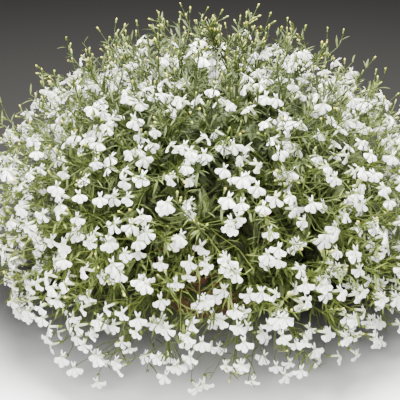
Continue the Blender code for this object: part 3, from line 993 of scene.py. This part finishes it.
def add_flower(bearers, kinds, share, azimuth, draw):
    """One flower on its stalk, with its calyx and a small leaf where the stalk forks."""
    full, share, azimuth = scattered(share, azimuth, draw)
    twig, spray = bearers.nearest(full)
    inside = BLOOM_INSIDE * draw.random() ** 2
    if share < ALOFT_SHARE:
        inside = max(inside, ALOFT_INSIDE * draw.random())
    flower = CROWN.lerp(full, billow(share, azimuth) - inside)
    facing = look_out(share, azimuth, BLOOM_LOOK, draw)
    up = (UP - facing * UP.dot(facing)).normalized()
    up = Matrix.Rotation(draw.uniform(-BLOOM_ROLL, BLOOM_ROLL), 3, facing) @ up
    right = up.cross(facing)
    size = draw.uniform(*BLOOM_SCALE)
    place = placement(right, up, facing, flower, size)
    kind = draw.randrange(BLOOM_KINDS)
    # Painted shade: the lower a flower sits on the dome, the darker its petals are painted.
    painted_light_tone = draw.random() * (1 - LOW_BLOOM_PAINTED_SHADE * share**2)
    spray.white.add(kinds["flower"][kind], painted_light_tone, place)
    spray.green.add(kinds["calyx"][kind], draw.uniform(*CALYX_TINTS), place, depth_of(flower))
    tail = flower - facing * (size * (TUBE_LENGTH + CALYX_DEPTH))
    stalk = Stalk(twig, tail, facing, fork_before(twig, tail, draw))
    spray.add_tube(stalk, STALK_TUBE, depth_of(flower), draw)
    place_leaf(spray.green, kinds["leaf"], stalk, BRACT_AT, draw.uniform(*BRACT_LENGTHS), draw)


def add_bud(spray, kinds, shaft, number, draw):
    """One bud on its thin stalk; the first stands at the sprig's tip and each next one further down."""
    fork_at = BUD_FIRST - BUD_STEP * number
    along = shaft.heading(fork_at)
    around = aside_from(along, draw)
    way = (along + around * BUD_LEAN * min(1, number)).normalized()
    foot = shaft.at(fork_at) + way * draw.uniform(*BUD_STALKS)
    side = way.orthogonal().normalized()
    place = placement(side, way.cross(side), way, foot, draw.uniform(*BUD_SCALE))
    kind = draw.randrange(BUD_KINDS)
    spray.budding.add(kinds["bud"][kind], draw.random(), place)
    spray.green.add(kinds["bud_sepals"][kind], draw.random(), place, depth_of(foot))
    spray.add_tube(Stalk(shaft, foot, way, fork_at), STALK_TUBE, depth_of(foot), draw)


def jog(draw, spread):
    """A small step aside in any direction."""
    return Vector(draw.uniform(-spread, spread) for _ in range(3))


def add_sprig(bearers, kinds, share, azimuth, draw):
    """A leafy tip with a few buds, standing a little past the flowers, mostly high on the plant."""
    full, share, azimuth = scattered(share, azimuth, draw)
    twig, spray = bearers.nearest(full)
    beyond = draw.uniform(*SPRIG_BEYOND) * (1 - LOW_SPRIG_HOLD * share)
    tip = CROWN.lerp(full, billow(share, azimuth) + beyond)
    way = look_out(share, azimuth, SPRIG_LOOK, draw)
    shaft = Stalk(twig, tip - way * BUD_LENGTH, way, draw.uniform(*SPRIG_FORKS))
    spray.add_tube(shaft, SPRIG_TUBE, depth_of(tip), draw)
    for _ in range(SPRIG_LEAVES):
        length = draw.uniform(*SPRIG_LEAF_LENGTHS)
        place_leaf(spray.green, kinds["leaf"], shaft, draw.uniform(*SPRIG_LEAF_PLACES), length, draw)
    for k in range(draw.randint(*SPRIG_BUDS)):
        add_bud(spray, kinds, shaft, k, draw)


def add_greens(spray, kinds, draw):
    """The stem, its twigs and their leaves."""
    spray.add_tube(spray.stem, STEM_TUBE, STEM_DEPTH, draw)
    add_leaves(spray, kinds, spray.stem, STEM_LEAVES, STEM_LEAF_PLACES, draw)
    for twig in spray.stem.twigs:
        spray.add_tube(twig, TWIG_TUBE, TWIG_DEPTH, draw)
        add_leaves(spray, kinds, twig, TWIG_LEAVES, TWIG_LEAF_PLACES, draw)


def add_leaves(spray, kinds, route, count, places, draw):
    """Leaves scattered along a stem or a twig."""
    for _ in range(count):
        t = draw.uniform(*places)
        place_leaf(spray.green, kinds["leaf"], route, t, draw.uniform(*LEAF_LENGTHS), draw)


def add_shoot(bearers, kinds, share, azimuth, draw):
    """A side shoot with leaves only, which fills the plant behind its flowers."""
    full = dome_point(share, azimuth)
    reach = draw.uniform(*SHOOT_REACH)
    tip = CROWN.lerp(full, reach) + jog(draw, SCATTER)
    twig, spray = bearers.nearest(full)
    way = (full - CROWN).normalized() + jog(draw, SHOOT_SWING)
    shoot = Stalk(twig, tip, way.normalized(), draw.uniform(0, SHOOT_FORK_LAST) * reach)
    spray.add_tube(shoot, SHOOT_TUBE, depth_of(tip), draw)
    broad = reach < BROAD_REACH
    leaves = kinds["broad_leaf" if broad else "fine_leaf"]
    lengths = BROAD_LEAF_LENGTHS if broad else FINE_LEAF_LENGTHS
    for k in range(SHOOT_LEAVES):
        t = (k + draw.uniform(*SHOOT_LEAF_SPREAD)) / SHOOT_LEAVES
        place_leaf(spray.green, leaves, shoot, 1 - SHOOT_LEAFY * (1 - t), draw.uniform(*lengths), draw)


def make_kinds(draw):
    """A few variants of every repeated form."""
    return {
        "flower": [flower_form(draw) for _ in range(BLOOM_KINDS)],
        "calyx": [calyx_form(draw) for _ in range(BLOOM_KINDS)],
        "leaf": [leaf_form(draw, LEAF_SLIMNESS, rows=6) for _ in range(LEAF_KINDS)],
        "fine_leaf": [leaf_form(draw, LEAF_SLIMNESS, rows=5) for _ in range(LEAF_KINDS)],
        "broad_leaf": [leaf_form(draw, LOW_LEAF_SLIMNESS, rows=5, columns=2) for _ in range(LEAF_KINDS)],
        "bud": [bud_form(draw) for _ in range(BUD_KINDS)],
        "bud_sepals": [bud_sepals(draw) for _ in range(BUD_KINDS)],
    }


def spray_nodes():
    """The frame's leafy stems, in the order of their numbers."""
    return sorted((n for n in frame["nodes"] if "_spray_" in n), key=lambda n: int(n.split("_")[-1]))


def build_spray(spray, green, white, budding):
    """The pieces of one spray; the green one and the white one stand for its node of the frame."""
    rows = (
        ("leafy_stem", spray.green, green, "foliage", spray.node),
        ("flowers", spray.white, white, "petals", spray.node),
        ("buds", spray.budding, budding, "buds", None),
    )
    for part, cluster, paint, slot, node in rows:
        if cluster.forms:
            name = f"{spray.node}.{part}"
            add_piece(name, cluster.mesh(name), paint, node)


def make_plant():
    """Replaces every leafy stem of the frame by its fine pieces."""
    draw = random.Random(SEED + 1)
    kinds = make_kinds(draw)
    sprays = [Spray(stem, node) for stem, node in zip(grow(), spray_nodes())]
    bearers = Bearers(sprays)
    for add, row in ((add_flower, BLOOM_SPIRAL), (add_sprig, SPRIG_SPIRAL), (add_shoot, SHOOT_SPIRAL)):
        for number in range(row[0]):
            add(bearers, kinds, *spiral(number, *row), draw)
    paints = leaf_paint(), petal_paint(), bud_paint()
    for spray in sprays:
        add_greens(spray, kinds, draw)
        build_spray(spray, *paints)


def wall_radius(height):
    """Outer radius of the pot's tapered wall, below its collar."""
    top = RIM_RADIUS - COLLAR_STEP
    return FOOT_RADIUS + (top - FOOT_RADIUS) * height / POT_HEIGHT


def turned_shape(profile, steps):
    """The corners and faces of (radius, height) points turned about Z; both ends lie on the axis."""
    rows = np.array(profile[1:-1])
    turns = np.arange(steps) * math.tau / steps
    rings = [np.stack([r * np.cos(turns), r * np.sin(turns), z + 0 * turns], axis=1) for r, z in rows]
    ends = [(0, 0, profile[0][1]), (0, 0, profile[-1][1])]
    points = np.concatenate(rings + [np.array(ends)])
    first, last = len(points) - 2, len(points) - 1
    low = (len(rows) - 1) * steps
    faces = grid_faces(len(rows), steps, closed=True).tolist()
    for k in range(steps):
        after = (k + 1) % steps
        faces.append((first, after, k))
        faces.append((last, low + k, low + after))
    return points.tolist(), faces


def pot_profile():
    """Half the pot's section from the middle of its underside, out, over the lip and back inside."""
    step_foot = POT_HEIGHT - COLLAR_HEIGHT
    edge = COLLAR_STEP / 4
    lip = [
        (RIM_RADIUS + ROLL * math.cos(a), POT_HEIGHT - 1.5 * ROLL * (1 - math.sin(a)))
        for a in np.linspace(-math.pi / 2, math.pi / 2, ROLL_POINTS)
    ]
    outside = [
        (0, 0),
        (FOOT_RADIUS - WALL, 0),
        (wall_radius(WALL) - 2 * WALL_EASE, WALL * 0.7),
        (wall_radius(WALL), WALL),
        (wall_radius(step_foot) - WALL_EASE, step_foot - 4 * WALL_EASE),
        (wall_radius(step_foot) + COLLAR_BEVEL, step_foot),
        (RIM_RADIUS - edge - COLLAR_BEVEL, step_foot),
        (RIM_RADIUS - edge, step_foot + COLLAR_BEVEL),
    ]
    inside = [
        (RIM_RADIUS - WALL, POT_HEIGHT - 2 * WALL_EASE),
        (RIM_RADIUS - edge - WALL, step_foot + 2 * WALL),
        (wall_radius(step_foot + WALL) - WALL, step_foot + WALL),
        (wall_radius(WALL) - WALL - 5 * WALL_EASE, WALL + WALL_EASE),
        (wall_radius(WALL) - WALL - 8 * WALL_EASE, WALL),
        (0, WALL),
    ]
    return outside + lip + inside


def drain_cutters():
    """A cylinder through the pot's foot for each drain hole."""
    drains = bpy.data.collections.new("drain_cutters")
    profile = ((0, -WALL), (DRAIN_RADIUS, -WALL), (DRAIN_RADIUS, 2 * WALL), (0, 2 * WALL))
    for k in range(DRAIN_HOLES):
        turn = math.tau * k / DRAIN_HOLES
        mesh = mesh_of(f"drain_{k}", *turned_shape(profile, DRAIN_STEPS))
        cutter = bpy.data.objects.new(f"drain_{k}", mesh)
        cutter.location = (DRAIN_CIRCLE * math.cos(turn), DRAIN_CIRCLE * math.sin(turn), 0)
        drains.objects.link(cutter)
    return drains


def make_pot(paint):
    """The moulded pot: tapered wall, stepped collar with a rolled lip, and a foot with drain holes."""
    drains = drain_cutters()
    mesh = mesh_of("nursery_pot", *turned_shape(pot_profile(), POT_STEPS))
    pot = add_piece("nursery_pot", mesh, paint, "pot")
    cut = pot.modifiers.new("drains", "BOOLEAN")
    cut.operand_type = "COLLECTION"
    cut.collection = drains
    bpy.context.view_layer.update()
    baked = bpy.data.meshes.new_from_object(pot.evaluated_get(bpy.context.evaluated_depsgraph_get()))
    pot.modifiers.clear()
    pot.data = baked
    pot.data.shade_smooth()
    pot.data.set_sharp_from_angle(angle=SHARP_ANGLE)
    for cutter in list(drains.objects):
        bpy.data.objects.remove(cutter)
    bpy.data.collections.remove(drains)


def compost_height(share):
    """The height of the compost's crowned top at a share of its radius."""
    return SOIL_TOP + SOIL_CROWN * (1 - share**2)


def compost_body(outer):
    """The corners and faces of the compost, crowned and uneven on top."""
    floor = WALL + COMPOST_CLEARANCE
    edge = SOIL_TOP - COMPOST_EDGE_DROP
    shares = [k / COMPOST_RINGS for k in reversed(range(COMPOST_RINGS))]
    top = [(outer * share, compost_height(share)) for share in shares]
    rows = [(0, floor), (wall_radius(floor) - WALL - COMPOST_CLEARANCE, floor), (outer, edge)]
    corners, faces = turned_shape(rows + top, COMPOST_STEPS)
    points = [Vector(corner) for corner in corners]
    for point in points:
        if point.z > SOIL_TOP:
            point.z -= COMPOST_SINK * (0.5 + 0.5 * noise.noise(point * COMPOST_LUMPS))
    return points, faces


def crumb_form(draw):
    """An uneven lump of compost: an octahedron with its corners pulled about."""
    corners = [(1, 0, 0), (0, 1, 0), (-1, 0, 0), (0, -1, 0), (0, 0, 1), (0, 0, -1)]
    points = [Vector(corner) * draw.uniform(*CRUMB_PULL) for corner in corners]
    sides = [(k, (k + 1) % 4) for k in range(4)]
    return points, [(a, b, 4) for a, b in sides] + [(b, a, 5) for a, b in sides]


def make_compost(paint):
    """The compost with the crumbs that are strewn on it."""
    draw = random.Random(SEED + 2)
    outer = wall_radius(SOIL_TOP - COMPOST_EDGE_DROP) - WALL - COMPOST_CLEARANCE
    points, faces = compost_body(outer)
    for _ in range(CRUMBS):
        away = (outer - CRUMB_MARGIN) * math.sqrt(draw.random())
        turn = draw.uniform(0, math.tau)
        height = compost_height(away / outer) - CRUMB_SINK
        place = Vector((away * math.cos(turn), away * math.sin(turn), height))
        lump, sides = crumb_form(draw)
        size = draw.uniform(*CRUMB_RADII)
        faces += [tuple(corner + len(points) for corner in side) for side in sides]
        points += [place + corner * size for corner in lump]
    add_piece("crumbly_compost", mesh_of("crumbly_compost", points, faces), paint, "compost")


def make_floor():
    """A plain floor with a painted pool of light in front of the plant and painted shade under and behind
    it, pale again far off.
    """
    bpy.ops.mesh.primitive_plane_add(size=FLOOR_SIZE)
    floor = bpy.context.object
    floor.name = "studio_floor"
    paint = Paint("floor_with_painted_light", Roughness=0.9, Specular_IOR_Level=0.0)
    place = paint.place()
    split = paint.node("ShaderNodeSeparateXYZ", None, {0: place})
    length = paint.node("ShaderNodeVectorMath", {"operation": "LENGTH"}, {0: place})
    apart = Value(paint, length.outputs["Value"])
    # Painted light: a pool of light in front of the plant that fades to painted shade under and behind
    # it, and with distance.
    front = (1.0 - Value(paint, split.outputs["Y"]).between(*FLOOR_FADE)) ** FLOOR_FADE_POWER
    near = (1.0 - apart.between(*FLOOR_END)) ** FLOOR_END_POWER
    paint.feed("Base Color", (front * near + apart.between(*FLOOR_FAR)).mix(FLOOR_PAINTED_SHADE, FLOOR_PALE_AND_PAINTED_LIGHT))
    floor.data.materials.append(paint.material)


def add_light(name, size, watts, place):
    """A large soft square light that shines on the plant."""
    data = bpy.data.lights.new(name, "AREA")
    data.shape = "SQUARE"
    data.size = size
    data.energy = watts
    light = add_object(name, data)
    light.location = place
    light.rotation_euler = (LIGHTS_AIM - place).to_track_quat("-Z", "Y").to_euler()


def make_studio():
    """Soft light from above and a little in front, with a grey surround."""
    world = bpy.data.worlds.new("studio_air")
    bpy.context.scene.world = world
    world.use_nodes = True
    background = world.node_tree.nodes["Background"]
    background.inputs["Color"].default_value = STUDIO_AIR
    background.inputs["Strength"].default_value = AIR_STRENGTH
    for light in LIGHTS:
        add_light(*light)


def make_camera():
    """The photograph's own view: from the front and above, through a long lens."""
    data = bpy.data.cameras.new("photo_camera")
    data.lens = CAMERA_LENS
    camera = add_object("photo_camera", data)
    tilt = math.radians(CAMERA_ELEVATION)
    back = Vector((0, -math.cos(tilt), math.sin(tilt)))
    camera.location = CAMERA_AIM + back * CAMERA_DISTANCE
    camera.rotation_euler = (-back).to_track_quat("-Z", "Y").to_euler()
    bpy.context.scene.camera = camera


make_camera()
make_studio()
make_floor()
make_plant()
make_pot(pot_paint())
make_compost(compost_paint())
